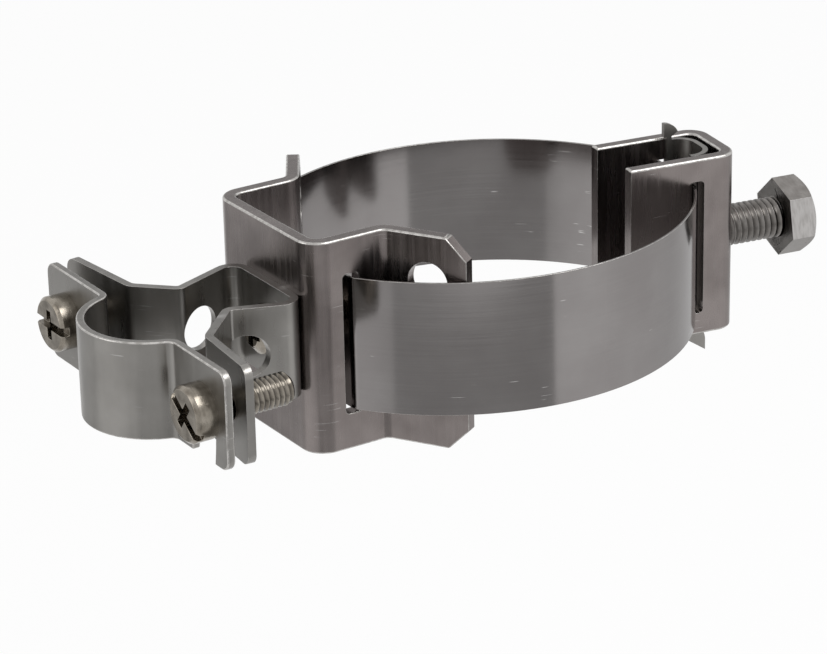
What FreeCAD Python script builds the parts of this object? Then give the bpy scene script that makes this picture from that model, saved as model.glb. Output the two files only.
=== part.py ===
import FreeCAD, Part
import math
import os
import Sketcher

os.makedirs("parts", exist_ok=True)
doc = FreeCAD.newDocument("ConductorHolder")
V = FreeCAD.Vector

# Frame: millimetres, origin on the axis of the round opening at mid-height of the strap,
# +Z along that axis, the bracket on the -X side and the tightening head on the +X side.

drivingSizes = {
    "openingRadius": 30.15,
    "heavySheet": 2.5,
    "lightSheet": 1.5,
    "saddleSheet": 1.0,
    "bracketReach": 43.3,
    "bracketWidth": 33.0,
    "bracketHeight": 40.0,
    "bracketBend": 2.0,
    "wingBend": 1.75,
    "wingAngle": 58.5,
    "wingLength": 15.2,
    "wingChamfer": 4.0,
    "wingHoleDiameter": 7.6,
    "wingHoleAlong": 7.7,
    "wingHoleRise": 11.1,
    "strapWidth": 25.0,
    "strapThickness": 0.4,
    "strapBracketBend": 3.0,
    "strapHeadBend": 2.0,
    "strapLapGap": 0.05,
    "strapSetback": 8.3,
    "strapHeadSetback": 9.4,
    "strapLapEnd": 4.4,
    "strapTipGap": 0.2,
    "slotPlay": 1.4,
    "slotCorner": 0.8,
    "bracketSlotInner": 1.6,
    "bracketSlotOuter": 1.7,
    "headSlotInner": 1.1,
    "headSlotOuter": 2.0,
    "headTurn": -9.36,
    "headReach": 52.3,
    "headWidth": 16.4,
    "headHeight": 35.0,
    "headBend": 1.5,
    "headDepth": 22.6,
    "tensionHoleDiameter": 8.06,
    "tensionShankDiameter": 7.9,
    "tensionShankLength": 16.0,
    "tensionThreadShown": 12.4,
    "tensionHeadThickness": 5.3,
    "tensionHeadFlats": 13.0,
    "tensionHeadTurn": 18.0,
    "saddleHeight": 34.6,
    "saddleLegHalf": 5.0,
    "saddleStrapGap": 0.1,
    "saddleBend": 3.2,
    "earRoot": 1.0,
    "earOverhang": 0.6,
    "earLift": 0.6,
    "topEarRise": 3.3,
    "topEarShoulder": 1.3,
    "topEarRadius": 3.0,
    "topEarReach": 2.3,
    "topEarTipRise": 1.5,
    "footEarHeel": 2.6,
    "footEarReach": 3.3,
    "footEarDrop": 4.8,
    "footEarRadius": 4.0,
    "seatX": -68.1,
    "seatY": -3.4,
    "seatZ": 0.7,
    "seatRadius": 11.5,
    "seatOffset": -1.3,
    "clipHeight": 18.0,
    "clipWallAngle": 21.3,
    "clipWallNear": 12.7,
    "clipBend": 2.0,
    "seatAngle": 45.0,
    "lugSplayAngle": 5.5,
    "lugBend": 2.5,
    "lugSetback": 0.7,
    "lugHalfSpan": 31.8,
    "lugCornerRadius": 2.2,
    "wallHoleDiameter": 8.0,
    "wallHoleBack": 14.0,
    "capFront": 3.3,
    "capBore": 11.6,
    "capBend": 1.5,
    "capHoleDiameter": 6.6,
    "capSlotWidth": 7.4,
    "clampSpacing": 48.6,
    "clampShankDiameter": 5.9,
    "clampShankLength": 16.5,
    "clampHoleDiameter": 6.1,
    "clampHeadDiameter": 10.2,
    "clampHeadThickness": 4.0,
    "clampHeadChamfer": 0.6,
    "driveSlotWidth": 1.6,
    "driveSlotDepth": 1.5,
    "driveCrossLength": 5.4,
    "driveCrossDepth": 2.2,
    "frontDriveTurn": 36.4,
    "fixingShankDiameter": 4.9,
    "fixingHoleDiameter": 5.5,
    "fixingHeadDiameter": 9.5,
    "fixingHeadThickness": 3.3,
    "fixingHeadFlatAngle": 30.0,
    "fixingShankLength": 8.8,
    "washerDiameter": 9.0,
    "washerThickness": 1.0,
    "nutFlats": 8.0,
    "nutThickness": 2.7,
    "nutHoleDiameter": 5.0,
    "threadEndChamfer": 0.8,
    "hexCornerAngle": 30.0,
}

derivedSizes = {
    "strapSlotHeight": "strapWidth + slotPlay",
    "strapAtBracket": "bracketReach - strapSetback",
    "strapAtHead": "headReach - strapHeadSetback",
    "strapLap": "strapThickness + strapLapGap",
    "saddleLegEnd": "strapAtHead + strapLap + strapThickness / 2 + saddleStrapGap",
    "headFoot": "headReach - headDepth",
    "boltSeat": "headReach + tensionThreadShown",
    "clampHalfSpacing": "clampSpacing / 2",
    "capLugPlane": "seatX - capFront",
    "fixingBearing": "-bracketReach - lightSheet",
    "washerSeat": "-bracketReach + heavySheet",
    "nutSeat": "-bracketReach + heavySheet + washerThickness",
}

sheet = doc.addObject("Spreadsheet::Sheet", "Sizes")
sheetRow = 0
for alias, value in drivingSizes.items():
    sheetRow += 1
    sheet.set(f"A{sheetRow}", alias)
    sheet.set(f"B{sheetRow}", str(value))
    sheet.setAlias(f"B{sheetRow}", alias)
doc.recompute()
for alias, formula in derivedSizes.items():
    sheetRow += 1
    sheet.set(f"A{sheetRow}", alias)
    sheet.set(f"B{sheetRow}", "=" + formula)
    sheet.setAlias(f"B{sheetRow}", alias)
doc.recompute()


def size(name):
    return float(sheet.get(name))


# Sketch outlines

def roundedPath(corners):
    """Nodes and arc centres of a line path whose corners (x, y, radius) are rounded."""
    nodes = [V(corners[0][0], corners[0][1])]
    centres = []
    for before, corner, after in zip(corners, corners[1:], corners[2:]):
        point = V(corner[0], corner[1])
        toBefore = (V(before[0], before[1]) - point).normalize()
        toAfter = (V(after[0], after[1]) - point).normalize()
        halfAngle = toBefore.getAngle(toAfter) / 2
        reach = corner[2] / math.tan(halfAngle)
        inward = (toBefore + toAfter).normalize()
        nodes += [point + toBefore * reach, point + toAfter * reach]
        centres += [None, point + inward * (corner[2] / math.sin(halfAngle))]
    nodes.append(V(corners[-1][0], corners[-1][1]))
    centres.append(None)
    return nodes, centres


def mirrored(half):
    """A symmetric list of corners from the half on the -Y side, tip first."""
    return half + [(x, -y, radius) for x, y, radius in reversed(half)]


def leftNormal(nodes, centres, index):
    """Unit normal on the left of the path at one of its nodes."""
    element = min(index, len(centres) - 1)
    start, end = nodes[element], nodes[element + 1]
    centre = centres[element]
    if centre is None:
        along = (end - start).normalize()
        return V(-along.y, along.x)
    radial = (nodes[index] - centre).normalize()
    turnsLeft = (start - centre).cross(end - centre).z > 0
    return radial * -1 if turnsLeft else radial


def arcThrough(start, end, centre):
    radius = (start - centre).Length
    middle = centre + ((start - centre) + (end - centre)).normalize() * radius
    return Part.Arc(start, middle, end)


def drawPath(sketch, nodes, centres):
    for start, end, centre in zip(nodes, nodes[1:], centres):
        if (end - start).Length < 1e-6:
            continue
        if centre is None:
            sketch.addGeometry(Part.LineSegment(start, end), False)
        else:
            sketch.addGeometry(arcThrough(start, end, centre), False)


def drawRibbon(sketch, path, thickness):
    """Closed outline of a bent sheet that follows the middle path."""
    nodes, centres = path
    sides = []
    for side in (0.5, -0.5):
        sides.append([
            node + leftNormal(nodes, centres, index) * (side * thickness)
            for index, node in enumerate(nodes)
        ])
    for edge in sides:
        drawPath(sketch, edge, centres)
    for index in (0, -1):
        sketch.addGeometry(Part.LineSegment(sides[0][index], sides[1][index]), False)


def drawOutline(sketch, corners):
    """Closed outline through corners (x, y, radius), each rounded by its radius."""
    first, last = corners[0], corners[-1]
    seam = ((first[0] + last[0]) / 2, (first[1] + last[1]) / 2, 0)
    drawPath(sketch, *roundedPath([seam] + corners + [seam]))


def drawStrapSlot(sketch, left, right):
    """Upright slot for the strap between two places along X."""
    top = size("strapSlotHeight") / 2
    corner = size("slotCorner")
    drawOutline(sketch, [(left, -top, corner), (right, -top, corner), (right, top, corner), (left, top, corner)])


def drawPolygon(sketch, points):
    corners = [V(x, y) for x, y in points]
    for start, end in zip(corners, corners[1:] + corners[:1]):
        sketch.addGeometry(Part.LineSegment(start, end), False)


def drawHexagon(sketch, flats, turn):
    corner = flats / math.sqrt(3)
    angles = [math.radians(turn + 60 * step) for step in range(6)]
    drawPolygon(sketch, [(corner * math.cos(a), corner * math.sin(a)) for a in angles])


def drawCircle(sketch, diameter, across=None, up=None):
    """Circle with its diameter and centre bound to named sizes."""
    centre = V(size(across) if across else 0, size(up) if up else 0)
    circle = sketch.addGeometry(Part.Circle(centre, V(0, 0, 1), size(diameter) / 2), False)
    bound = sketch.addConstraint(Sketcher.Constraint("Diameter", circle, size(diameter)))
    sketch.setExpression(f"Constraints[{bound}]", f"Sizes.{diameter}")
    for kind, name in (("DistanceX", across), ("DistanceY", up)):
        if name:
            bound = sketch.addConstraint(Sketcher.Constraint(kind, -1, 1, circle, 3, size(name)))
            sketch.setExpression(f"Constraints[{bound}]", f"Sizes.{name}")


# Bodies and features

def newBody(label):
    body = doc.addObject("PartDesign::Body", label)
    body.Label = label
    return body


def newSketch(body, name, plane, lift=None):
    """Sketch on an origin plane of the body, lifted along its normal by a named size."""
    sketch = body.newObject("Sketcher::SketchObject", name)
    origin = next(f for f in body.Origin.OriginFeatures if f.Role == plane)
    sketch.AttachmentSupport = (origin, [""])
    sketch.MapMode = "FlatFace"
    if lift:
        sketch.setExpression("AttachmentOffset.Base.z", lift)
    return sketch


def padSketch(body, sketch, length, sides="One side", reverse=False):
    pad = body.newObject("PartDesign::Pad", sketch.Name + "Pad")
    pad.Profile = sketch
    pad.setExpression("Length", length)
    pad.SideType = sides
    pad.Reversed = reverse
    doc.recompute()
    return pad


def cutSketch(body, sketch, depth=None, reverse=False):
    """Pocket to a depth, or through everything both ways when no depth is given."""
    before = body.Shape.Volume
    pocket = body.newObject("PartDesign::Pocket", sketch.Name + "Cut")
    pocket.Profile = sketch
    if depth:
        pocket.setExpression("Length", depth)
        pocket.Reversed = reverse
    else:
        pocket.Type = "ThroughAll"
        pocket.SideType = "Symmetric"
    doc.recompute()
    if body.Shape.Volume >= before:
        raise RuntimeError(f"{sketch.Name} cuts nothing from {body.Label}")
    return pocket


def edgesWhere(feature, test):
    return [f"Edge{number}" for number, edge in enumerate(feature.Shape.Edges, 1) if test(edge)]


def dressEdges(body, kind, feature, test, amount):
    """Chamfer or Fillet on the edges of a feature that pass the test."""
    dress = body.newObject(f"PartDesign::{kind}", body.Label + kind)
    dress.Base = (feature, edgesWhere(feature, test))
    dress.setExpression("Size" if kind == "Chamfer" else "Radius", amount)
    doc.recompute()
    return dress


def turnProfile(body, kind, name, points):
    """Revolution or Groove about the body's X axis of a profile of (x, radius) points."""
    sketch = newSketch(body, name, "XY_Plane")
    drawPolygon(sketch, points)
    turned = body.newObject(f"PartDesign::{kind}", name + kind)
    turned.Profile = sketch
    turned.ReferenceAxis = (sketch, ["H_Axis"])
    turned.Angle = 360
    doc.recompute()
    return turned


def placeBody(body, **expressions):
    """Bind the parts of a body's placement, such as baseX or turn, to named sizes."""
    paths = {"baseX": "Placement.Base.x", "baseY": "Placement.Base.y", "baseZ": "Placement.Base.z",
             "turn": "Placement.Rotation.Angle"}
    for key, expression in expressions.items():
        body.setExpression(paths[key], expression)
    doc.recompute()


heavyHalf = size("heavySheet") / 2
lightHalf = size("lightSheet") / 2


# Bracket: web, two side walls with a strap slot each, two wings tangent to the opening

def wingPoint(distance, along):
    """Point in plan on the front wing, given its distance from the axis and its place along it."""
    angle = math.radians(size("wingAngle"))
    outward = V(-math.sin(angle), -math.cos(angle))
    forward = V(math.cos(angle), -math.sin(angle))
    return outward * distance + forward * along


wingMiddle = size("openingRadius") + heavyHalf
wallMiddle = size("bracketWidth") / 2 - heavyHalf
wingRoot = wingPoint(wingMiddle, 0)
wingSlope = math.radians(size("wingAngle"))
wallToWing = wingRoot.x + (wingRoot.y + wallMiddle) / math.tan(wingSlope)
wingTip = wingPoint(wingMiddle, size("wingLength"))
webMiddle = -size("bracketReach") + heavyHalf
bracketHalf = [
    (wingTip.x, wingTip.y, 0),
    (wallToWing, -wallMiddle, size("wingBend") + heavyHalf),
    (webMiddle, -wallMiddle, size("bracketBend") + heavyHalf),
]

bracket = newBody("pipe_bracket")
bracketPlan = newSketch(bracket, "bracketPlan", "XY_Plane")
drawRibbon(bracketPlan, roundedPath(mirrored(bracketHalf)), size("heavySheet"))
bracketPad = padSketch(bracket, bracketPlan, "Sizes.bracketHeight", "Symmetric")


def isWingCorner(edge):
    """The short upright-free edges across the sheet at the tips of the wings."""
    centre = edge.CenterOfMass
    atTip = abs(math.hypot(centre.x, centre.y) - math.hypot(wingTip.x, wingTip.y)) < heavyHalf
    atEnd = abs(abs(centre.z) - size("bracketHeight") / 2) < 1e-3
    return atTip and atEnd and abs(edge.Length - size("heavySheet")) < 1e-3


dressEdges(bracket, "Chamfer", bracketPad, isWingCorner, "Sizes.wingChamfer")
strapSlots = newSketch(bracket, "bracketStrapSlots", "XZ_Plane")
backLine = -size("strapAtBracket")
drawStrapSlot(strapSlots, backLine - size("bracketSlotOuter"), backLine + size("bracketSlotInner"))
cutSketch(bracket, strapSlots)
fixingHole = newSketch(bracket, "bracketFixingHole", "YZ_Plane")
drawCircle(fixingHole, "fixingHoleDiameter", "seatY", "seatZ")
cutSketch(bracket, fixingHole)
for side in (-1, 1):
    centre = wingPoint(size("openingRadius"), size("wingHoleAlong"))
    start = V(centre.x, -side * centre.y, size("wingHoleRise"))
    outward = wingPoint(1, 0)
    drill = bracket.newObject("PartDesign::SubtractiveCylinder", "wingHole")
    drill.setExpression("Radius", "Sizes.wingHoleDiameter / 2")
    drill.setExpression("Height", "Sizes.heavySheet * 2")
    direction = V(outward.x, -side * outward.y)
    drill.Placement = FreeCAD.Placement(start - direction * heavyHalf, FreeCAD.Rotation(V(0, 0, 1), direction))
    doc.recompute()


# Tightening head: a narrow channel with a strap slot in each wall, turned about the axis

headGroupTurn = FreeCAD.Placement(V(0, 0, 0), FreeCAD.Rotation(V(0, 0, 1), size("headTurn")))


def newHeadBody(label):
    body = newBody(label)
    body.Placement = FreeCAD.Placement(V(0, 0, 0), FreeCAD.Rotation(V(0, 0, 1), 1))
    placeBody(body, turn="Sizes.headTurn")
    return body


headWall = size("headWidth") / 2 - heavyHalf
headWeb = size("headReach") - heavyHalf
headHalf = [
    (size("headFoot"), -headWall, 0),
    (headWeb, -headWall, size("headBend") + heavyHalf),
]
head = newHeadBody("tension_head")
headPlan = newSketch(head, "headPlan", "XY_Plane")
drawRibbon(headPlan, roundedPath(mirrored(headHalf)), size("heavySheet"))
padSketch(head, headPlan, "Sizes.headHeight", "Symmetric")
headSlots = newSketch(head, "headStrapSlots", "XZ_Plane")
headLine = size("strapAtHead")
drawStrapSlot(headSlots, headLine - size("headSlotInner"), headLine + size("headSlotOuter"))
cutSketch(head, headSlots)
tensionHole = newSketch(head, "tensionHole", "YZ_Plane")
drawCircle(tensionHole, "tensionHoleDiameter")
cutSketch(head, tensionHole)


# Saddle: a thin channel inside the head that the bolt pushes onto the strap, with two ears

saddleHalfSheet = size("saddleSheet") / 2
shankTip = size("boltSeat") - size("tensionShankLength")
saddleApex = shankTip - saddleHalfSheet
saddleHalf = [
    (size("saddleLegEnd"), -size("saddleLegHalf"), 0),
    (saddleApex, -size("saddleLegHalf"), size("saddleBend") + saddleHalfSheet),
]
saddle = newHeadBody("tension_saddle")
saddlePlan = newSketch(saddle, "saddlePlan", "XY_Plane")
drawRibbon(saddlePlan, roundedPath(mirrored(saddleHalf)), size("saddleSheet"))
padSketch(saddle, saddlePlan, "Sizes.saddleHeight", "Symmetric")
saddleTop = size("saddleHeight") / 2
earBase = size("earRoot")
earNear = size("saddleLegEnd")
earTop = saddleTop + size("topEarRise")
earFoot = -saddleTop - size("footEarDrop")
ears = {
    "topEar": ("-Sizes.saddleLegHalf - Sizes.saddleSheet / 2", [
        (earNear, saddleTop - earBase, 0),
        (earNear + earBase, saddleTop - earBase, 0),
        (earNear + earBase, saddleTop + size("earLift"), 0),
        (earNear + size("topEarReach"), saddleTop + size("topEarTipRise"), 0),
        (earNear + size("topEarShoulder"), earTop, size("topEarRadius")),
        (earNear - size("earOverhang"), earTop, 0),
        (earNear - size("earOverhang"), saddleTop + size("earLift"), 0),
        (earNear, saddleTop + size("earLift"), 0),
    ]),
    "footEar": ("Sizes.saddleLegHalf - Sizes.saddleSheet / 2", [
        (earNear, -saddleTop + earBase, 0),
        (earNear, -saddleTop - size("footEarHeel"), 0),
        (earNear + size("footEarReach"), earFoot, 0),
        (earNear + size("footEarReach"), -saddleTop - earBase, size("footEarRadius")),
        (earNear + earBase, -saddleTop + earBase, 0),
    ]),
}
for name, (lift, outline) in ears.items():
    ear = newSketch(saddle, name, "XZ_Plane", lift)
    drawOutline(ear, outline)
    padSketch(saddle, ear, "Sizes.saddleSheet")


# Tension bolt: hexagon head and shank along the head's X axis

def isRimAt(place, radius):
    """Test for the full circle of a radius at a place along X."""
    def test(edge):
        if not isinstance(edge.Curve, Part.Circle):
            return False
        return abs(edge.Curve.Radius - radius) < 1e-3 and abs(edge.Curve.Center.x - place) < 1e-3
    return test


def cornerCut(body, name, face, flats):
    """Groove that takes the corners off a hexagon at its face on the +X side."""
    inscribed = flats / 2
    depth = inscribed * math.tan(math.radians(size("hexCornerAngle")))
    turnProfile(body, "Groove", name, [(face, inscribed), (face, flats), (face - depth, flats)])


bolt = newHeadBody("tension_bolt")
boltHex = newSketch(bolt, "boltHex", "YZ_Plane", "Sizes.boltSeat")
drawHexagon(boltHex, size("tensionHeadFlats"), size("tensionHeadTurn"))
padSketch(bolt, boltHex, "Sizes.tensionHeadThickness")
cornerCut(bolt, "boltCorners", size("boltSeat") + size("tensionHeadThickness"), size("tensionHeadFlats"))
boltShank = newSketch(bolt, "boltShank", "YZ_Plane", "Sizes.boltSeat")
drawCircle(boltShank, "tensionShankDiameter")
shankPad = padSketch(bolt, boltShank, "Sizes.tensionShankLength", reverse=True)
dressEdges(bolt, "Chamfer", shankPad, isRimAt(shankTip, size("tensionShankDiameter") / 2),
           "Sizes.threadEndChamfer")


# Strap: one flat band through all four slots, its ends lapped inside the head

def circleCentre(first, second, third):
    return Part.Circle(first, second, third).Center


def bendOnto(centre, radius, lineX, side, bend, sign):
    """Bend between the circle and the line x = lineX; side is where the loop's inside lies."""
    bendX = lineX + side * bend
    rise = math.sqrt((radius - bend) ** 2 - (bendX - centre.x) ** 2)
    bendCentre = V(bendX, centre.y + sign * rise)
    onLine = V(lineX, bendCentre.y)
    onCircle = centre + (bendCentre - centre).normalize() * radius
    return bendCentre, onLine, onCircle


def headPoint(x, y):
    return headGroupTurn.multVec(V(x, y))


bracketSide = size("bracketWidth") / 2
headSide = size("headWidth") / 2
wingCorner = wingPoint(size("openingRadius") + size("heavySheet"), size("wingLength"))
overTip = wingCorner * (1 + (size("strapTipGap") + size("strapThickness") / 2) / wingCorner.Length)
strapNodes = []
strapCentres = []
for sign, lineX in ((-1, headLine), (1, headLine + size("strapLap"))):
    atHead = headPoint(lineX, sign * headSide)
    atTip = V(overTip.x, -sign * overTip.y)
    atBracket = V(backLine, sign * bracketSide)
    centre = circleCentre(atHead, atTip, atBracket)
    radius = (atTip - centre).Length
    centreInHead = headGroupTurn.inverse().multVec(centre)
    headBend = [headGroupTurn.multVec(p) for p in
                bendOnto(centreInHead, radius, lineX, -1, size("strapHeadBend"), sign)]
    bracketBend = bendOnto(centre, radius, backLine, 1, size("strapBracketBend"), sign)
    lapEnd = headPoint(lineX, -sign * size("strapLapEnd"))
    span = [lapEnd, headBend[1], headBend[2], bracketBend[2], bracketBend[1]]
    spanCentres = [None, headBend[0], centre, bracketBend[0]]
    if sign < 0:
        strapNodes += span
        strapCentres += spanCentres + [None]
    else:
        strapNodes += reversed(span)
        strapCentres += reversed(spanCentres)

strap = newBody("tension_strap")
strapPlan = newSketch(strap, "strapPlan", "XY_Plane")
drawRibbon(strapPlan, (strapNodes, strapCentres), size("strapThickness"))
padSketch(strap, strapPlan, "Sizes.strapWidth", "Symmetric")


# Clip base: channel on the bracket's web that opens into a seat and two splayed lugs

def newClipBody(label):
    body = newBody(label)
    placeBody(body, baseX="Sizes.seatX", baseY="Sizes.seatY", baseZ="Sizes.seatZ")
    return body


def crossing(firstPoint, firstAngle, secondPoint, secondAngle):
    """Where two lines in plan meet, each given by a point and a direction in degrees."""
    first = V(math.cos(math.radians(firstAngle)), math.sin(math.radians(firstAngle)))
    second = V(math.cos(math.radians(secondAngle)), math.sin(math.radians(secondAngle)))
    gap = secondPoint - firstPoint
    along = gap.cross(second).z / first.cross(second).z
    return firstPoint + first * along


clipWeb = -size("bracketReach") - size("seatX") - lightHalf
wallAngle = 180 - size("clipWallAngle")
wallPoint = V(clipWeb, -(size("clipWallNear") - lightHalf))
seatReach = size("seatRadius") + lightHalf
seatAngle = math.radians(size("seatAngle"))
seatCentre = V(0, size("seatOffset"))
lugEnd = size("lugHalfSpan")
lugAngle = -90 - size("lugSplayAngle")
lugPoint = V(lightHalf + size("lugSetback"), -lugEnd)


def baseHalf(centre):
    """Corners of the clip base on the -Y side, tip first, for a seat round the centre."""
    seatPoint = centre + V(math.cos(seatAngle), -math.sin(seatAngle)) * seatReach
    seatFoot = crossing(wallPoint, wallAngle, seatPoint, -90 - size("seatAngle"))
    lugRoot = crossing(lugPoint, lugAngle, seatPoint, -90 - size("seatAngle"))
    return [
        (lugPoint.x, lugPoint.y, 0),
        (lugRoot.x, lugRoot.y, size("lugBend")),
        (seatFoot.x, seatFoot.y, size("lightSheet")),
        (wallPoint.x, wallPoint.y, size("clipBend") + lightHalf),
    ]


clipBase = newClipBody("clip_base")
basePlan = newSketch(clipBase, "basePlan", "XY_Plane")
baseCorners = baseHalf(seatCentre) + mirrored(baseHalf(seatCentre * -1))[4:]
drawRibbon(basePlan, roundedPath(baseCorners), size("lightSheet"))
basePad = padSketch(clipBase, basePlan, "Sizes.clipHeight", "Symmetric")


def isLugCorner(edge):
    """The short edges across the sheet at the free ends of a clip's lugs."""
    centre = edge.CenterOfMass
    atTip = abs(abs(centre.y) - lugEnd) < lightHalf
    atEnd = abs(abs(centre.z) - size("clipHeight") / 2) < 1e-3
    return atTip and atEnd and abs(edge.Length - size("lightSheet")) < 1e-3


dressEdges(clipBase, "Fillet", basePad, isLugCorner, "Sizes.lugCornerRadius")
clampHoles = newSketch(clipBase, "baseClampHoles", "YZ_Plane")
drawCircle(clampHoles, "clampHoleDiameter", "clampHalfSpacing")
mirrorHole = clampHoles.addGeometry(
    Part.Circle(V(-size("clampHalfSpacing"), 0), V(0, 0, 1), size("clampHoleDiameter") / 2), False)
clampHoles.addConstraint(Sketcher.Constraint("Equal", 0, mirrorHole))
clampHoles.addConstraint(Sketcher.Constraint("Symmetric", 0, 3, mirrorHole, 3, -2))
cutSketch(clipBase, clampHoles)
baseFixingHole = newSketch(clipBase, "baseFixingHole", "YZ_Plane")
drawCircle(baseFixingHole, "fixingHoleDiameter")
cutSketch(clipBase, baseFixingHole)
wallHoles = newSketch(clipBase, "baseWallHoles", "XZ_Plane")
drawCircle(wallHoles, "wallHoleDiameter", "wallHoleBack")
cutSketch(clipBase, wallHoles)


# Clip cap: half shell with two lugs, a closed hole at the rear, an open slot at the front

capMiddle = size("capBore") + lightHalf
capLug = -size("capFront") + lightHalf
capBend = size("capBend") + lightHalf
bendX = capLug - capBend
bendY = math.sqrt((capMiddle + capBend) ** 2 - bendX ** 2)
capNodes = []
capCentres = [seatCentre]
for side in (-1, 1):
    bendCentre = seatCentre + V(bendX, side * bendY)
    onShell = seatCentre + (bendCentre - seatCentre).normalize() * capMiddle
    lug = [V(capLug, side * lugEnd), V(capLug, bendCentre.y), onShell]
    if side < 0:
        capNodes += lug
        capCentres = [None, bendCentre] + capCentres
    else:
        capNodes += reversed(lug)
        capCentres += [bendCentre, None]
clipCap = newClipBody("clip_cap")
capPlan = newSketch(clipCap, "capPlan", "XY_Plane")
drawRibbon(capPlan, (capNodes, capCentres), size("lightSheet"))
capPad = padSketch(clipCap, capPlan, "Sizes.clipHeight", "Symmetric")
dressEdges(clipCap, "Fillet", capPad, isLugCorner, "Sizes.lugCornerRadius")
capHole = newSketch(clipCap, "capRearHole", "YZ_Plane")
drawCircle(capHole, "capHoleDiameter", "clampHalfSpacing")
cutSketch(clipCap, capHole)


def swingPoint(radius, drop):
    """Point at a drop below the front screw, on a circle about the rear screw."""
    spacing = size("clampSpacing")
    angle = math.asin(drop / spacing)
    return V(spacing / 2 - radius * math.cos(angle), -radius * math.sin(angle))


slotHalf = size("capSlotWidth") / 2
swing = size("clampSpacing")
slotDrop = size("clipHeight") / 2 + slotHalf
rearScrew = V(swing / 2, 0)
inner = [swingPoint(swing - slotHalf, drop) for drop in (0, slotDrop)]
outer = [swingPoint(swing + slotHalf, drop) for drop in (0, slotDrop)]
capSlot = newSketch(clipCap, "capFrontSlot", "YZ_Plane")
capSlot.addGeometry(arcThrough(inner[0], inner[1], rearScrew), False)
capSlot.addGeometry(Part.LineSegment(inner[1], outer[1]), False)
capSlot.addGeometry(arcThrough(outer[1], outer[0], rearScrew), False)
slotTopPoint = V(-swing / 2, slotHalf)
capSlot.addGeometry(Part.Arc(outer[0], slotTopPoint, inner[0]), False)
cutSketch(clipCap, capSlot)


# Screws of the clip: turned blanks with a slot and a cross in the head

def cheeseOutline(thickness, radius):
    chamfer = size("clampHeadChamfer")
    return [(-thickness, 0), (-thickness, radius - chamfer), (-thickness + chamfer, radius), (0, radius)]


def domeOutline(thickness, radius, steps=2):
    """Half outline of a dome with a flat crown, as a few straight steps."""
    flat = size("fixingHeadFlatAngle")
    angles = [math.radians(flat + (90 - flat) * step / steps) for step in range(steps + 1)]
    crown = thickness / math.cos(angles[0])
    return [(-thickness, 0)] + [(-crown * math.cos(angle), radius * math.sin(angle)) for angle in angles]


def newScrew(label, shank, length, headOutline):
    """Screw along X, its head bearing at the origin and its shank on the +X side."""
    body = newBody(label)
    shankRadius = size(shank) / 2
    end = size(length)
    chamfer = size("threadEndChamfer")
    turnProfile(body, "Revolution", label + "Profile", headOutline + [
        (0, shankRadius),
        (end - chamfer, shankRadius),
        (end, shankRadius - chamfer),
        (end, 0),
    ])
    return body


def drawBar(sketch, length, width):
    drawPolygon(sketch, [
        (-length / 2, -width / 2),
        (length / 2, -width / 2),
        (length / 2, width / 2),
        (-length / 2, width / 2),
    ])


for label, side, turn in (("clamp_screw_front", "-", "Sizes.frontDriveTurn"), ("clamp_screw_rear", "+", "0")):
    screw = newScrew(label, "clampShankDiameter", "clampShankLength",
                     cheeseOutline(size("clampHeadThickness"), size("clampHeadDiameter") / 2))
    driveSlot = newSketch(screw, label + "Slot", "YZ_Plane", "-Sizes.clampHeadThickness")
    drawBar(driveSlot, size("clampHeadDiameter") + size("driveSlotWidth"), size("driveSlotWidth"))
    cutSketch(screw, driveSlot, "Sizes.driveSlotDepth", reverse=True)
    for arm, (length, width) in {
        "Along": (size("driveCrossLength"), size("driveSlotWidth")),
        "Across": (size("driveSlotWidth"), size("driveCrossLength")),
    }.items():
        driveCross = newSketch(screw, label + arm, "YZ_Plane", "-Sizes.clampHeadThickness")
        drawBar(driveCross, length, width)
        cutSketch(screw, driveCross, "Sizes.driveCrossDepth", reverse=True)
    screw.Placement = FreeCAD.Placement(V(0, 0, 0), FreeCAD.Rotation(V(1, 0, 0), 1))
    placeBody(screw, baseX="Sizes.capLugPlane", baseZ="Sizes.seatZ", turn=turn,
              baseY=f"Sizes.seatY {side} Sizes.clampHalfSpacing")

fixingScrew = newScrew("clip_fixing_screw", "fixingShankDiameter", "fixingShankLength",
                       domeOutline(size("fixingHeadThickness"), size("fixingHeadDiameter") / 2))
for arm, (length, width) in {
    "Along": (size("driveCrossLength"), size("driveSlotWidth")),
    "Across": (size("driveSlotWidth"), size("driveCrossLength")),
}.items():
    fixingCross = newSketch(fixingScrew, "fixingCross" + arm, "YZ_Plane", "-Sizes.fixingHeadThickness")
    drawBar(fixingCross, length, width)
    cutSketch(fixingScrew, fixingCross, "Sizes.driveCrossDepth", reverse=True)
placeBody(fixingScrew, baseX="Sizes.fixingBearing", baseY="Sizes.seatY", baseZ="Sizes.seatZ")


# Washer and nut inside the bracket

washer = newBody("clip_fixing_washer")
washerPlan = newSketch(washer, "washerPlan", "YZ_Plane")
drawCircle(washerPlan, "washerDiameter")
drawCircle(washerPlan, "fixingHoleDiameter")
padSketch(washer, washerPlan, "Sizes.washerThickness")
placeBody(washer, baseX="Sizes.washerSeat", baseY="Sizes.seatY", baseZ="Sizes.seatZ")

nut = newBody("clip_fixing_nut")
nutPlan = newSketch(nut, "nutPlan", "YZ_Plane")
drawHexagon(nutPlan, size("nutFlats"), 0)
drawCircle(nutPlan, "nutHoleDiameter")
padSketch(nut, nutPlan, "Sizes.nutThickness")
cornerCut(nut, "nutCorners", size("nutThickness"), size("nutFlats"))
placeBody(nut, baseX="Sizes.nutSeat", baseY="Sizes.seatY", baseZ="Sizes.seatZ")


# Checks and export

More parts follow.
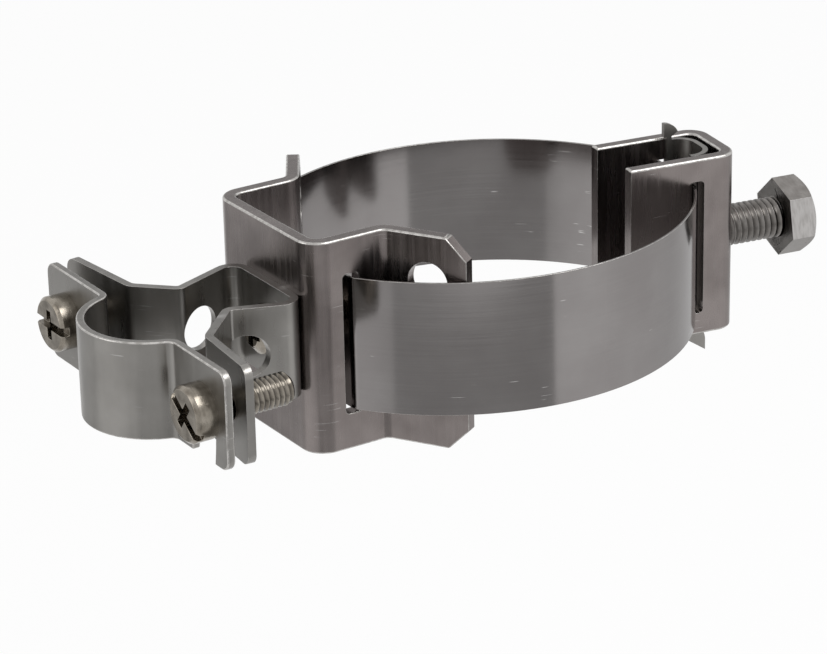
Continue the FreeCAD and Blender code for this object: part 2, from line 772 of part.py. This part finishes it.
doc.recompute()
faulty = [item.Label for item in doc.Objects if "Invalid" in item.State or "Error" in item.State]
if faulty:
    raise RuntimeError("Faulty features: " + ", ".join(faulty))
for body in [item for item in doc.Objects if item.TypeId == "PartDesign::Body"]:
    solid = body.Shape
    if solid.isNull() or not solid.isValid() or len(solid.Solids) != 1:
        raise RuntimeError(f"{body.Label} is not one valid solid")
    solid.exportStep(f"parts/{body.Label}.step")
    box = solid.BoundBox
    print(f"{body.Label:20s} {solid.Volume:9.1f} mm3  x {box.XMin:7.2f} {box.XMax:7.2f}"
          f"  y {box.YMin:7.2f} {box.YMax:7.2f}  z {box.ZMin:7.2f} {box.ZMax:7.2f}")
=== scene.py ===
import math

import bpy
from mathutils import Matrix, Vector


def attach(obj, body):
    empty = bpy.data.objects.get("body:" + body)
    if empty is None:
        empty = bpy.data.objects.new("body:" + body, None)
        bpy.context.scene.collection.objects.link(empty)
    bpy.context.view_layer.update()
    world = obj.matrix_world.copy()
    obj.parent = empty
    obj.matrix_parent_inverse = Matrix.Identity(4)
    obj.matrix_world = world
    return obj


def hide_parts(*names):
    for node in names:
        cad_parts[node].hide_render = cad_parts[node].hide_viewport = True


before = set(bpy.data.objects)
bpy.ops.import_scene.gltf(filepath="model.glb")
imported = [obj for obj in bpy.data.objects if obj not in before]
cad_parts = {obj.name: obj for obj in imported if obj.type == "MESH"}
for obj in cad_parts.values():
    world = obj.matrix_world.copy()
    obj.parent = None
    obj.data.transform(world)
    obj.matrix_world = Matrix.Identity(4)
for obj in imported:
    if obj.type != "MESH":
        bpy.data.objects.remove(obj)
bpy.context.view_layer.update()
bpy.ops.object.select_all(action="DESELECT")
mm = 0.001
headTurn = -9.36  # degrees that the tightening head is turned by
print("frame loaded")


def pointing(bearing, lift=0.0):  # unit vector from degrees round and degrees up
    across = math.radians(bearing)
    up = math.radians(lift)
    return Vector((math.cos(across) * math.cos(up), math.sin(across) * math.cos(up), math.sin(up)))


# Camera

cameraView = {
    "place": (-0.32195, -0.48733, 0.23167),  # metres
    "azimuth": -32.47,  # degrees round from straight in front
    "elevation": 22.54,
    "roll": -1.26,
    "focalPixels": 3412.06,
    "widthPixels": 827,
    "sensorWidth": 36.0,
    "nearest": 0.01,  # metres
}


def placeCamera(view):
    roll = math.radians(view["roll"])
    back = pointing(view["azimuth"] - 90, view["elevation"])
    level = pointing(view["azimuth"])
    upright = back.cross(level)
    right = level * math.cos(roll) + upright * math.sin(roll)
    up = upright * math.cos(roll) - level * math.sin(roll)
    bpy.ops.object.camera_add(location=view["place"])
    camera = bpy.context.object
    axes = Matrix((right, up, back)).transposed().to_4x4()
    camera.matrix_world = Matrix.Translation(view["place"]) @ axes
    camera.data.sensor_width = view["sensorWidth"]
    camera.data.lens = view["focalPixels"] / view["widthPixels"] * view["sensorWidth"]
    camera.data.clip_start = view["nearest"]
    bpy.context.scene.camera = camera


placeCamera(cameraView)
bpy.context.scene.view_settings.view_transform = "Standard"
print("camera placed")


# Shader expressions

class Wire:
    def __init__(self, shader, link):
        self.shader = shader
        self.link = link

    def join(self, operation, first, second):
        return self.shader.node("ShaderNodeMath", {"operation": operation}, {0: first, 1: second})

    def __add__(self, other):
        return self.join("ADD", self, other)

    def __radd__(self, other):
        return self.join("ADD", other, self)

    def __sub__(self, other):
        return self.join("SUBTRACT", self, other)

    def __rsub__(self, other):
        return self.join("SUBTRACT", other, self)

    def __mul__(self, other):
        return self.join("MULTIPLY", self, other)

    def __rmul__(self, other):
        return self.join("MULTIPLY", other, self)


class ShaderSheet:
    def __init__(self, tree):
        self.tree = tree
        self.tree.nodes.clear()

    def node(self, kind, settings=None, values=None, output=0):
        made = self.tree.nodes.new(kind)
        for name, value in (settings or {}).items():
            setattr(made, name, value)
        for key, value in (values or {}).items():
            if isinstance(value, Wire):
                self.tree.links.new(value.link, made.inputs[key])
            else:
                made.inputs[key].default_value = value
        return Wire(self, made.outputs[output]) if made.outputs else made

    def place(self, stretch=(1, 1, 1), shift=(0, 0, 0)):  # in millimetres of the piece
        here = self.node("ShaderNodeTexCoord", output="Object")
        return self.node("ShaderNodeMapping", None, {
            "Vector": here,
            "Location": shift,
            "Scale": [factor / mm for factor in stretch],
        })

    def noise(self, scale, detail, stretch=(1, 1, 1), shift=(0, 0, 0)):
        return self.node("ShaderNodeTexNoise", None, {
            "Vector": self.place(stretch, shift),
            "Scale": scale,
            "Detail": detail,
        })

    def spread(self, value, low, high, toLow=0.0, toHigh=1.0):
        return self.node("ShaderNodeMapRange", {"clamp": True}, {
            "Value": value, "From Min": low, "From Max": high, "To Min": toLow, "To Max": toHigh,
        })

    def blend(self, factor, first, second):  # a Mix node's colours are inputs 6 and 7 and output 2
        shades = [(*shade, 1) if isinstance(shade, tuple) else shade for shade in (first, second)]
        return self.node("ShaderNodeMix", {"data_type": "RGBA"}, {
            "Factor": factor, 6: shades[0], 7: shades[1],
        }, output=2)

    def bump(self, height, depth, strength):
        return self.node("ShaderNodeBump", None, {
            "Height": height, "Distance": depth * mm, "Strength": strength,
        })

    def surface(self, values):
        shader = self.node("ShaderNodeBsdfPrincipled", None, values)
        self.node("ShaderNodeOutputMaterial", None, {"Surface": shader})


def newMaterial(name):
    material = bpy.data.materials.new(name)
    material.use_nodes = True
    return material, ShaderSheet(material.node_tree)


# Finishes: a pair is a span of the noise, or the two ends of what it drives

sheetFinish = {
    "bracketSteel": {
        "dark": (0.165, 0.144, 0.139),
        "light": (0.262, 0.233, 0.225),
        "rough": (0.20, 0.31),
        "grain": (1.1, 1.1, 0.05),  # upright rolling grain
        "streaks": 0.14,  # the grain's share of the tone
        "grainDepth": 0.0025,
        "scratched": (0.58, 0.66),
        "scratchLines": (0.68, 0.72),
        "scratches": 0.30,
    },
    "strapSteel": {
        "dark": (0.247, 0.232, 0.229),
        "light": (0.285, 0.271, 0.267),
        "rough": (0.10, 0.15),
        "grain": (0.05, 0.05, 6.0),  # grain along the band
        "streaks": 0.25,
        "grainDepth": 0.0006,
        "scratched": (0.62, 0.68),
        "scratchLines": (0.70, 0.73),
        "scratches": 0.8,
    },
    "clipSteel": {
        "dark": (0.225, 0.217, 0.205),
        "light": (0.30, 0.29, 0.275),
        "rough": (0.26, 0.38),
        "grain": (0.5, 0.5, 0.08),
        "streaks": 0.2,
        "grainDepth": 0.003,
        "scratched": (0.58, 0.66),
        "scratchLines": (0.69, 0.72),
        "scratches": 0.4,
    },
}

sheetWear = {  # what the three sheets share
    "grainDetail": 3.0,
    "grainTone": (0.35, 0.65),
    "grainRough": (0.3, 0.7),
    "cloud": {"scale": 0.09, "detail": 3.0, "shift": (3, 1, 7)},
    "cloudTone": (0.35, 0.68),
    "lines": {"scale": 1.0, "detail": 1.0, "stretch": (0.10, 0.10, 2.6), "shift": (11, 4, 2)},
    "patches": {"scale": 0.22, "detail": 1.0, "shift": (5, 9, 1)},
    "scratchColour": (0.62, 0.61, 0.60),
    "scratchRough": 0.1,
    "scratchHeight": 0.6,
    "bumpStrength": 0.5,
}


def sheetSteel(name, finish, wear):
    material, shader = newMaterial(name)
    grain = shader.noise(1.0, wear["grainDetail"], stretch=finish["grain"])
    cloud = shader.spread(shader.noise(**wear["cloud"]), *wear["cloudTone"])
    lines = shader.spread(shader.noise(**wear["lines"]), *finish["scratchLines"])
    patches = shader.spread(shader.noise(**wear["patches"]), *finish["scratched"])
    scratches = lines * patches * finish["scratches"]
    streaks = finish["streaks"]
    tone = cloud * (1 - streaks) + shader.spread(grain, *wear["grainTone"]) * streaks
    colour = shader.blend(tone, finish["dark"], finish["light"])
    colour = shader.blend(scratches, colour, wear["scratchColour"])
    low, high = finish["rough"]
    rough = low + (high - low) * shader.spread(grain, *wear["grainRough"])
    height = grain - scratches * wear["scratchHeight"]
    shader.surface({
        "Base Color": colour,
        "Metallic": 1.0,
        "Roughness": rough + scratches * wear["scratchRough"],
        "Normal": shader.bump(height, finish["grainDepth"], wear["bumpStrength"]),
    })
    return material


# colour of the rounded edges: the sheared steel's own lighter tone, made brighter still as a painted
# highlight along the edges
edgeToneAndHighlight = {
    "dark": (0.34, 0.325, 0.31),
    "light": (0.53, 0.515, 0.497),
    "rough": (0.20, 0.32),
    "worn": {"scale": 0.9, "detail": 4.0},
    "wornTone": (0.35, 0.65),
    "bumpDepth": 0.004,
    "bumpStrength": 0.3,
}


def edgeSteelAndHighlight(name, finish):
    material, shader = newMaterial(name)
    worn = shader.noise(**finish["worn"])
    tone = shader.spread(worn, *finish["wornTone"])
    low, high = finish["rough"]
    shader.surface({
        "Base Color": shader.blend(tone, finish["dark"], finish["light"]),
        "Metallic": 1.0,
        "Roughness": low + (high - low) * worn,
        "Normal": shader.bump(worn, finish["bumpDepth"], finish["bumpStrength"]),
    })
    return material


screwFinish = {
    "clampSteel": {
        "dark": (0.15, 0.132, 0.108),
        "light": (0.33, 0.30, 0.258),
        "rough": (0.16, 0.30),
    },
    "boltSteel": {
        "dark": (0.175, 0.163, 0.153),
        "light": (0.27, 0.256, 0.244),
        "rough": (0.28, 0.40),
        "paintedHighlightFlat": {  # one side of the hexagon is painted brighter, a painted highlight
            "facing": pointing(headTurn - 90, 12.0),
            "beyond": (6.38, 6.47),  # millimetres that way, just under the side
            "colour": (0.45, 0.436, 0.426),
            "highlightNoise": {"scale": 1.0, "detail": 2.0, "stretch": (2.0, 2.0, 0.2)},
            "highlightNoiseTone": (0.3, 0.6, 0.55, 1.0),
        },
    },
}

screwWear = {  # what all screws share
    "turned": {"scale": 1.0, "detail": 2.0, "stretch": (2.4, 0.4, 0.4)},
    "turnedTone": (0.35, 0.65),
    "turnedHeight": 0.3,
    "stain": {"scale": 0.45, "detail": 4.0, "shift": (2, 8, 5)},
    "stainTone": (0.34, 0.66),
    "stainShare": 0.75,
    "stainRough": (0.3, 0.7),
    "nicks": {"scale": 1.1, "detail": 3.0, "shift": (1, 3, 3)},
    "nicked": (0.66, 0.74),
    "nickColour": (0.12, 0.105, 0.09),
    "nickShare": 0.4,
    "nickRough": 0.15,
    "nickHeight": 0.5,
    "grooveShadeColour": (0.035, 0.031, 0.027),  # painted shade between the threads
    "paintedGrooveShade": 0.85,
    "bumpDepth": 0.004,
    "bumpStrength": 0.3,
}


# paints one flat of the hexagon brighter, a painted highlight mottled by noise
def paintFlatHighlight(shader, colour, flat):
    outward = shader.node("ShaderNodeVectorMath", {"operation": "DOT_PRODUCT"}, {
        0: shader.place(), 1: flat["facing"],
    }, output="Value")
    highlightPatches = shader.spread(shader.noise(**flat["highlightNoise"]), *flat["highlightNoiseTone"])
    return shader.blend(shader.spread(outward, *flat["beyond"]) * highlightPatches, colour, flat["colour"])


def screwSteel(name, finish, wear):
    material, shader = newMaterial(name)
    turned = shader.noise(**wear["turned"])
    stain = shader.noise(**wear["stain"])
    nicks = shader.spread(shader.noise(**wear["nicks"]), *wear["nicked"])
    # how deep below the crest a point lies: painted shade in the thread's grooves
    grooveShade = shader.node("ShaderNodeAttribute", {"attribute_name": "paintedGrooveShade"}, output="Fac")
    stained = shader.spread(stain, *wear["stainTone"]) * wear["stainShare"]
    tone = stained + shader.spread(turned, *wear["turnedTone"]) * (1 - wear["stainShare"])
    colour = shader.blend(tone, finish["dark"], finish["light"])
    colour = shader.blend(nicks * wear["nickShare"], colour, wear["nickColour"])
    colour = shader.blend(grooveShade * wear["paintedGrooveShade"], colour, wear["grooveShadeColour"])
    # painted highlight on one flat of the hexagon
    if "paintedHighlightFlat" in finish:
        colour = paintFlatHighlight(shader, colour, finish["paintedHighlightFlat"])
    low, high = finish["rough"]
    rough = low + (high - low) * shader.spread(stain, *wear["stainRough"])
    height = turned * wear["turnedHeight"] + stain - nicks * wear["nickHeight"]
    shader.surface({
        "Base Color": colour,
        "Metallic": 1.0,
        "Roughness": rough + nicks * wear["nickRough"],
        "Normal": shader.bump(height, wear["bumpDepth"], wear["bumpStrength"]),
    })
    return material


materials = {name: sheetSteel(name, finish, sheetWear) for name, finish in sheetFinish.items()}
materials.update({name: screwSteel(name, finish, screwWear) for name, finish in screwFinish.items()})
materials["shearedEdgeAndHighlight"] = edgeSteelAndHighlight("shearedEdgeAndHighlight", edgeToneAndHighlight)
print("finishes made")


# Copies of the solids, with their edges eased

copying = {
    "weld": 0.002,  # millimetres: a solid comes as loose triangles
    "flatWithin": 0.6,  # degrees: the triangles of one flat face are joined again
    "easeSegments": 3,
}


def activate(piece):
    bpy.ops.object.select_all(action="DESELECT")
    piece.select_set(True)
    bpy.context.view_layer.objects.active = piece


def copyOfNode(node, name):
    activate(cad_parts[node])
    bpy.ops.object.duplicate()
    piece = bpy.context.object
    piece.name = name
    bpy.ops.object.mode_set(mode="EDIT")
    bpy.ops.mesh.select_all(action="SELECT")
    bpy.ops.mesh.remove_doubles(threshold=copying["weld"] * mm)
    bpy.ops.mesh.dissolve_limited(angle_limit=math.radians(copying["flatWithin"]))
    bpy.ops.object.mode_set(mode="OBJECT")
    return piece


def easeEdges(piece, width, sharperThan, material=-1):  # -1 keeps the material of the faces
    ease = piece.modifiers.new("ease", "BEVEL")
    ease.width = width * mm
    ease.segments = copying["easeSegments"]
    ease.limit_method = "ANGLE"
    ease.angle_limit = math.radians(sharperThan)
    ease.material = material
    bpy.ops.object.modifier_apply(modifier="ease")


def smoothPiece(piece, angle):  # large faces keep their own normal, so that they reflect as flat
    bpy.ops.object.shade_smooth_by_angle(angle=math.radians(angle))
    evened = piece.modifiers.new("evened", "WEIGHTED_NORMAL")
    evened.keep_sharp = True
    bpy.ops.object.modifier_apply(modifier="evened")


# Sheet parts: "rim" rounds the sheared top and bottom, then "ease" the sharp edges left

sheetPieces = {
    "pipe_bracket": {
        "finish": "bracketSteel", "body": "holder", "slot": "heavy_sheet", "rim": 0.36, "ease": 0.42,
    },
    "tension_head": {
        "finish": "bracketSteel", "body": "holder", "slot": "heavy_sheet", "rim": 0.44, "ease": 0.42,
    },
    "tension_saddle": {
        "finish": "clipSteel", "body": "saddle", "slot": "saddle_steel", "ease": 0.15,
    },
    "tension_strap": {
        "finish": "strapSteel", "body": "holder", "slot": "strap_steel", "ease": 0.06,
    },
    "clip_base": {
        "finish": "clipSteel", "body": "holder", "slot": "clip_sheet", "ease": 0.28,
    },
    "clip_cap": {
        "finish": "clipSteel", "body": "cap", "slot": "clip_sheet", "ease": 0.28,
    },
}

sheetEasing = {
    "sharperThan": 50,  # degrees
    "smoothBelow": 28,
    "levelWithin": 0.01,  # millimetres from the top or the bottom
    "edgeSlot": 1,  # place of the sheared edge's material, also a painted edge highlight, in the piece's materials
}


def roundRim(piece, side, width):  # side is 1 for the top and -1 for the bottom
    heights = [vertex.co.z * side for vertex in piece.data.vertices]
    level = max(heights) - sheetEasing["levelWithin"] * mm
    for vertex, height in zip(piece.data.vertices, heights):
        vertex.select = height > level
    for edge in piece.data.edges:
        edge.select = all(heights[index] > level for index in edge.vertices)
    for face in piece.data.polygons:
        face.select = all(heights[index] > level for index in face.vertices)
    bpy.ops.object.mode_set(mode="EDIT")
    bpy.ops.mesh.select_mode(type="FACE")
    bpy.ops.mesh.region_to_loop()
    bpy.ops.mesh.bevel(
        offset=width * mm, segments=copying["easeSegments"], affect="EDGES", clamp_overlap=True,
        material=sheetEasing["edgeSlot"],
    )
    bpy.ops.object.mode_set(mode="OBJECT")


def easeSheet(node, piece):
    eased = copyOfNode(node, node + "_eased")
    eased.data.materials.clear()
    eased.data.materials.append(materials[piece["finish"]])
    # the rounded edges take the sheared edge colour, partly a painted highlight
    eased.data.materials.append(materials["shearedEdgeAndHighlight"])
    if "rim" in piece:
        roundRim(eased, 1, piece["rim"])
        roundRim(eased, -1, piece["rim"])
    easeEdges(eased, piece["ease"], sheetEasing["sharperThan"], sheetEasing["edgeSlot"])
    smoothPiece(eased, sheetEasing["smoothBelow"])
    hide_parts(node)
    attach(eased, piece["body"])


for node, piece in sheetPieces.items():
    easeSheet(node, piece)
print("sheet parts eased")


# Screws: the solid's head and a real thread in place of its plain shank

boltReach = 64.7  # millimetres from the middle to under the bolt's head
clipMiddle = Vector((-68.1, -3.4, 0.7)) * mm  # between the two clamp screws
lugFace = -3.3  # millimetres from there to under their heads
screwReach = 24.3  # millimetres from there to each of them

clampScrew = {
    "finish": "clampSteel", "slot": "screw_steel", "towards": Vector((1, 0, 0)),
    "length": 16.5, "crest": 2.93, "root": 2.42, "pitch": 1.0, "ease": 0.2,
}

threadedParts = {
    "tension_bolt": {
        "finish": "boltSteel", "slot": "screw_steel", "towards": -pointing(headTurn),
        "length": 16.0, "crest": 3.93, "root": 3.30, "pitch": 1.25, "ease": 0.3,
        "body": "bolt",
        "underHead": pointing(headTurn) * boltReach * mm,
    },
    "clamp_screw_front": {
        **clampScrew,
        "body": "front_screw",
        "underHead": clipMiddle + Vector((lugFace, -screwReach, 0)) * mm,
    },
    "clamp_screw_rear": {
        **clampScrew,
        "body": "rear_screw",
        "underHead": clipMiddle + Vector((lugFace, screwReach, 0)) * mm,
    },
}

screwEasing = {
    "sharperThan": 24,  # degrees
    "smoothBelow": 32,
    "keptShank": 0.02,  # millimetres of the plain shank left under the head
}

threadForm = {
    "crestShares": (0.42, 0.58),  # the shares of a pitch between which the thread is full
    "sides": 40,
    "spareTurns": 3,
    "firstCut": 1.5,  # pitches from the start of the winding
    "weld": 0.004,
    "sunk": 0.3,  # how far the thread starts inside the head
    "endDrop": 0.25,  # how much smaller than the root the end is
}


def drawPitch(name, part, form):  # the outline of one turn, an open line
    pitch, crest, root = (part[size] * mm for size in ("pitch", "crest", "root"))
    rise, fall = form["crestShares"]
    bpy.ops.mesh.primitive_plane_add(size=2 * mm)
    thread = bpy.context.object
    thread.name = name
    outline = [(0.0, root), (rise, crest), (fall, crest), (1.0, root)]
    order = [0, 1, 3, 2]  # the plane's corners in order round it
    for index, (share, radius) in zip(order, outline):
        thread.data.vertices[index].co = (share * pitch, 0, radius)
    closing = {order[0], order[-1]}
    for edge in thread.data.edges:
        edge.select = set(edge.vertices) == closing
    for face in thread.data.polygons:
        face.select = False
    for vertex in thread.data.vertices:
        vertex.select = vertex.index in closing
    bpy.ops.object.mode_set(mode="EDIT")
    bpy.ops.mesh.select_mode(type="EDGE")
    bpy.ops.mesh.delete(type="EDGE")
    bpy.ops.object.mode_set(mode="OBJECT")
    return thread


def windThread(thread, part, form):
    winding = thread.modifiers.new("winding", "SCREW")
    winding.axis = "X"
    winding.screw_offset = part["pitch"] * mm
    winding.iterations = math.ceil(part["length"] / part["pitch"]) + form["spareTurns"]
    winding.steps = winding.render_steps = form["sides"]
    bpy.ops.object.modifier_apply(modifier="winding")


def cutThread(start, end, weld):
    bpy.ops.object.mode_set(mode="EDIT")
    bpy.ops.mesh.select_all(action="SELECT")
    bpy.ops.mesh.remove_doubles(threshold=weld * mm)
    bpy.ops.mesh.bisect(plane_co=(start, 0, 0), plane_no=(1, 0, 0), use_fill=True, clear_inner=True)
    bpy.ops.mesh.select_all(action="SELECT")
    bpy.ops.mesh.bisect(plane_co=(end, 0, 0), plane_no=(1, 0, 0), use_fill=True, clear_outer=True)
    bpy.ops.mesh.select_all(action="SELECT")
    bpy.ops.mesh.normals_make_consistent(inside=False)
    bpy.ops.object.mode_set(mode="OBJECT")


def pointEnd(thread, part, end, drop):  # marks the grooves for painted shade, and lets the crests die away at the end
    crest, root = (part[size] * mm for size in ("crest", "root"))
    shares = thread.data.attributes.new("paintedGrooveShade", "FLOAT", "POINT").data
    for vertex in thread.data.vertices:
        across = Vector((0, vertex.co.y, vertex.co.z))
        shares[vertex.index].value = min(1, max(0, (crest - across.length) / (crest - root)))
        limit = root - drop * mm + (end - vertex.co.x)
        if across.length > limit:
            across *= limit / across.length
            vertex.co = (vertex.co.x, across.y, across.z)


def makeThread(name, part, form):
    thread = drawPitch(name, part, form)
    windThread(thread, part, form)
    sunk = form["sunk"] * mm
    start = form["firstCut"] * part["pitch"] * mm
    end = start + part["length"] * mm + sunk
    cutThread(start, end, form["weld"])
    pointEnd(thread, part, end, form["endDrop"])
    thread.data.transform(Matrix.Translation((-start - sunk, 0, 0)))
    thread.rotation_mode = "QUATERNION"
    thread.rotation_quaternion = Vector((1, 0, 0)).rotation_difference(part["towards"])
    thread.location = part["underHead"]
    bpy.ops.object.transform_apply(location=True, rotation=True, scale=True)
    return thread


def makeScrew(node, part):
    head = copyOfNode(node, node + "_threaded")
    bpy.ops.object.mode_set(mode="EDIT")
    bpy.ops.mesh.select_all(action="SELECT")
    cut = part["underHead"] + part["towards"] * screwEasing["keptShank"] * mm
    bpy.ops.mesh.bisect(plane_co=cut, plane_no=part["towards"], use_fill=True, clear_outer=True)
    bpy.ops.object.mode_set(mode="OBJECT")
    easeEdges(head, part["ease"], screwEasing["sharperThan"])
    thread = makeThread(node + "_thread", part, threadForm)
    activate(head)
    thread.select_set(True)
    bpy.ops.object.join()
    head.data.materials.clear()
    head.data.materials.append(materials[part["finish"]])
    smoothPiece(head, screwEasing["smoothBelow"])
    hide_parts(node)
    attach(head, part["body"])


for node, part in threadedParts.items():
    makeScrew(node, part)
print("screws threaded")


for node in ("clip_fixing_screw", "clip_fixing_washer", "clip_fixing_nut"):
    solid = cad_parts[node]
    solid.data.materials.clear()
    solid.data.materials.append(materials["clampSteel"])
print("fixings coloured")


# Floor, backdrop and lamps

studio = {  # metres and watts
    "floorDrop": -0.14,
    "floorSize": 8.0,
    "floorColour": (0.86, 0.86, 0.86),
    "floorWhite": 0.92,  # how much of what is seen of the floor is plain white
    "worldLevel": 0.55,
    "lamps": {
        "keyPanel": {"place": (0.30, -0.42, 0.80), "size": (0.7, 0.45), "power": 5.0},
        "sidePanel": {"place": (-1.1, 0.2, 0.35), "size": (0.5, 0.9), "power": 2.0},
        "backPanel": {"place": (0.3, 1.0, 0.8), "size": (1.0, 0.5), "power": 0.4},
    },
    "greyCards": {  # lie flat on the floor out of view, seen only in reflections
        "leftCard": {"bearings": (-175.0, -149.8), "reach": (0.24, 0.50), "levels": (0.96, 0.70)},
        "frontCard": {"bearings": (-149.8, -77.5), "reach": (0.24, 0.50), "levels": (0.50, 0.50)},
        "rearCard": {"bearings": (105.0, 152.0), "reach": (0.24, 0.55), "levels": (0.66, 0.66)},
        "slopeCard": {"bearings": (-50.0, -5.0), "reach": (0.22, 0.60), "levels": (0.97, 0.74)},
        "sideCard": {"bearings": (-5.0, 75.0), "reach": (0.22, 0.60), "levels": (0.74, 0.70)},
    },
    "cardLift": 0.002,
    "skyCard": {"bearing": 50.7, "lift": 19.0, "away": 1.2, "size": (1.3, 0.62), "level": 0.55},
}

white = (1, 1, 1, 1)


def raysToWhite(shader):  # straight, mirrored and through glass
    kinds = ("Is Camera Ray", "Is Glossy Ray", "Is Transmission Ray")
    camera, glossy, transmission = (shader.node("ShaderNodeLightPath", output=kind) for kind in kinds)
    return camera + glossy + transmission


def showCard(board, material, shader, level):
    grey = shader.node("ShaderNodeEmission", None, {"Color": level})
    shader.node("ShaderNodeOutputMaterial", None, {"Surface": grey})
    board.data.materials.append(material)
    board.visible_camera = False
    board.visible_diffuse = False
    board.visible_shadow = False


def layCard(name, card, height):  # a straight-edged slice of a ring, its level changing round it
    near, far = card["reach"]
    first, last = (math.radians(bearing) for bearing in card["bearings"])
    begin, end = card["levels"]
    corners = [(near, first, begin), (far, first, begin), (near, last, end), (far, last, end)]
    bpy.ops.mesh.primitive_plane_add(size=1)
    board = bpy.context.object
    board.name = name
    shades = board.data.attributes.new("cardLevel", "FLOAT", "POINT").data
    for vertex, (reach, bearing, level) in zip(board.data.vertices, corners):
        vertex.co = (reach * math.cos(bearing), reach * math.sin(bearing), height)
        shades[vertex.index].value = level
    material, shader = newMaterial(name + "Paper")
    level = shader.node("ShaderNodeAttribute", {"attribute_name": "cardLevel"}, output="Fac")
    showCard(board, material, shader, level)


def hangCard(name, card):  # in the air, square to the line from the middle
    outward = pointing(card["bearing"], card["lift"])
    facing = outward.to_track_quat("Z", "Y").to_euler()
    bpy.ops.mesh.primitive_plane_add(size=1, location=outward * card["away"], rotation=facing)
    board = bpy.context.object
    board.name = name
    board.scale = (*card["size"], 1)
    material, shader = newMaterial(name + "Paper")
    showCard(board, material, shader, (card["level"], card["level"], card["level"], 1))


def layFloor(plan):
    bpy.ops.mesh.primitive_plane_add(size=plan["floorSize"], location=(0, 0, plan["floorDrop"]))
    floor = bpy.context.object
    floor.name = "studioFloor"
    material, shader = newMaterial("paleFloor")
    diffuse = shader.node("ShaderNodeBsdfDiffuse", None, {"Color": (*plan["floorColour"], 1)})
    glow = shader.node("ShaderNodeEmission", None, {"Color": white, "Strength": 1.0})
    share = raysToWhite(shader) * plan["floorWhite"]
    seen = shader.node("ShaderNodeMixShader", None, {0: share, 1: diffuse, 2: glow})
    shader.node("ShaderNodeOutputMaterial", None, {"Surface": seen})
    floor.data.materials.append(material)


def hangBackdrop(plan):
    world = bpy.data.worlds.new("paleRoom")
    bpy.context.scene.world = world
    world.use_nodes = True
    sky = ShaderSheet(world.node_tree)
    plain = sky.node("ShaderNodeBackground", None, {"Color": white, "Strength": plan["worldLevel"]})
    bright = sky.node("ShaderNodeBackground", None, {"Color": white, "Strength": 1.0})
    shown = sky.node("ShaderNodeMixShader", None, {0: raysToWhite(sky), 1: plain, 2: bright})
    sky.node("ShaderNodeOutputWorld", None, {"Surface": shown})


def placeLamp(name, lamp):
    bpy.ops.object.light_add(type="AREA", location=lamp["place"])
    panel = bpy.context.object
    panel.name = name
    panel.data.shape = "RECTANGLE"
    panel.data.size, panel.data.size_y = lamp["size"]
    panel.data.energy = lamp["power"]
    panel.rotation_euler = Vector(lamp["place"]).to_track_quat("Z", "Y").to_euler()


layFloor(studio)
hangBackdrop(studio)
for name, lamp in studio["lamps"].items():
    placeLamp(name, lamp)
for name, card in studio["greyCards"].items():
    layCard(name, card, studio["floorDrop"] + studio["cardLift"])
hangCard("skyCard", studio["skyCard"])
print("studio built")
